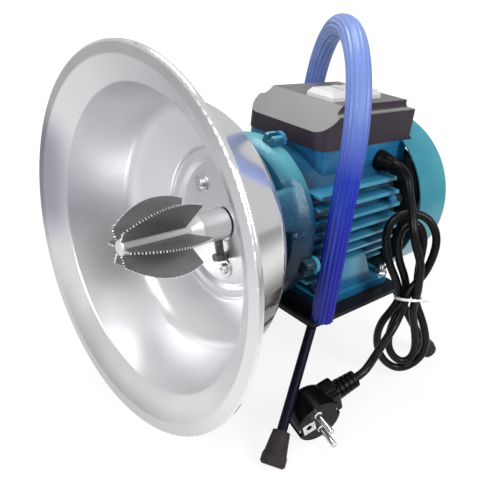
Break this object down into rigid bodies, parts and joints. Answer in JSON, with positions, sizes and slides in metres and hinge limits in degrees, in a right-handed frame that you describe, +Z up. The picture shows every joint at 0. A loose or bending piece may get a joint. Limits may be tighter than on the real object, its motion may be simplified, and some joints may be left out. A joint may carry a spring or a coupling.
{
  "type": "electric coconut scraper",
  "caption": "Bench machine with a fan-cooled electric motor, a spun catch bowl round a serrated burr, a carrying handle, splayed legs and a tied power cord.",
  "frame": {"origin": "on the floor, under the middle of the bounding box of the machine without its cord", "axes": "+Z up, +Y along the shaft from the bowl to the fan, +X across the machine, towards the side that the cord leaves"},
  "size_m": [0.28, 0.3086, 0.309],
  "materials": {
    "spun_aluminium": "spun and polished",
    "zinc_steel": "zinc plated",
    "teal_cast": "gloss paint on cast metal",
    "teal_sheet": "gloss paint on sheet steel",
    "black_cast": "dark paint on cast metal",
    "bright_steel": "ground",
    "core_steel": "stacked sheets",
    "winding": "varnished copper wire",
    "cover_plastic": "moulded",
    "capacitor_can": "smooth",
    "switch_plastic": "moulded",
    "black_rubber": "moulded",
    "cord_jacket": "smooth",
    "tie_plastic": "smooth",
    "plug_plastic": "moulded",
    "plug_brass": "nickel plated",
    "black_steel": "paint",
    "leg_steel": "paint",
    "blue_hose": "ribbed, slightly clear",
    "fan_plastic": "moulded",
    "burr_steel": "cut sheet",
    "black_bolt": "blackened"
  },
  "bodies": {
    "stand": {"catch_bowl": "spun_aluminium", "bowl_washers": "zinc_steel", "bowl_screws": "zinc_steel", "front_end_shield": "teal_cast", "motor_housing": "teal_cast", "shield_bolts": "zinc_steel", "rear_end_shield": "black_cast", "rear_shield_bolts": "zinc_steel", "front_bearing": "bright_steel", "rear_bearing": "bright_steel", "shaft_seal": "black_rubber", "wave_washer": "bright_steel", "stator_core": "core_steel", "stator_winding_front": "winding", "stator_winding_rear": "winding", "fan_cowl": "teal_sheet", "cowl_screws": "zinc_steel", "terminal_cover": "cover_plastic", "cover_screws": "zinc_steel", "capacitor": "capacitor_can", "terminal_block": "cover_plastic", "switch_base": "switch_plastic", "rocker_pin": "bright_steel", "cable_gland": "black_rubber", "cord_lead": "cord_jacket", "cord_hank": "cord_jacket", "cord_tie": "tie_plastic", "cord_tail": "cord_jacket", "plug_body": "plug_plastic", "plug_pins": "plug_brass", "plug_earth_clips": "plug_brass", "base_plate": "black_steel", "foot_bolts": "zinc_steel", "foot_nuts": "zinc_steel", "leg_front_near": "leg_steel", "leg_front_far": "leg_steel", "leg_rear_near": "leg_steel", "leg_rear_far": "leg_steel", "ferrule_front_near": "black_rubber", "ferrule_front_far": "black_rubber", "ferrule_rear_near": "black_rubber", "ferrule_rear_far": "black_rubber", "handle_rod": "black_steel", "handle_hose": "blue_hose"},
    "rotor": {"motor_shaft": "bright_steel", "rotor_core": "core_steel", "cooling_fan": "fan_plastic", "burr_hub": "burr_steel", "burr_blades": "burr_steel", "clamp_bolt": "black_bolt"},
    "rocker": {"switch_rocker": "switch_plastic"}
  },
  "joints": [
    {"name": "rotor_spin", "type": "hinge", "parent": "stand", "child": "rotor", "pos_m": [0, -0.0573, 0.1464], "axis": [0, 1, 0], "continuous": true},
    {"name": "rocker_tilt", "type": "hinge", "parent": "stand", "child": "rocker", "pos_m": [0.011, 0.0552, 0.2483], "axis": [1, 0, 0], "range_deg": [-9, 9]}
  ]
}
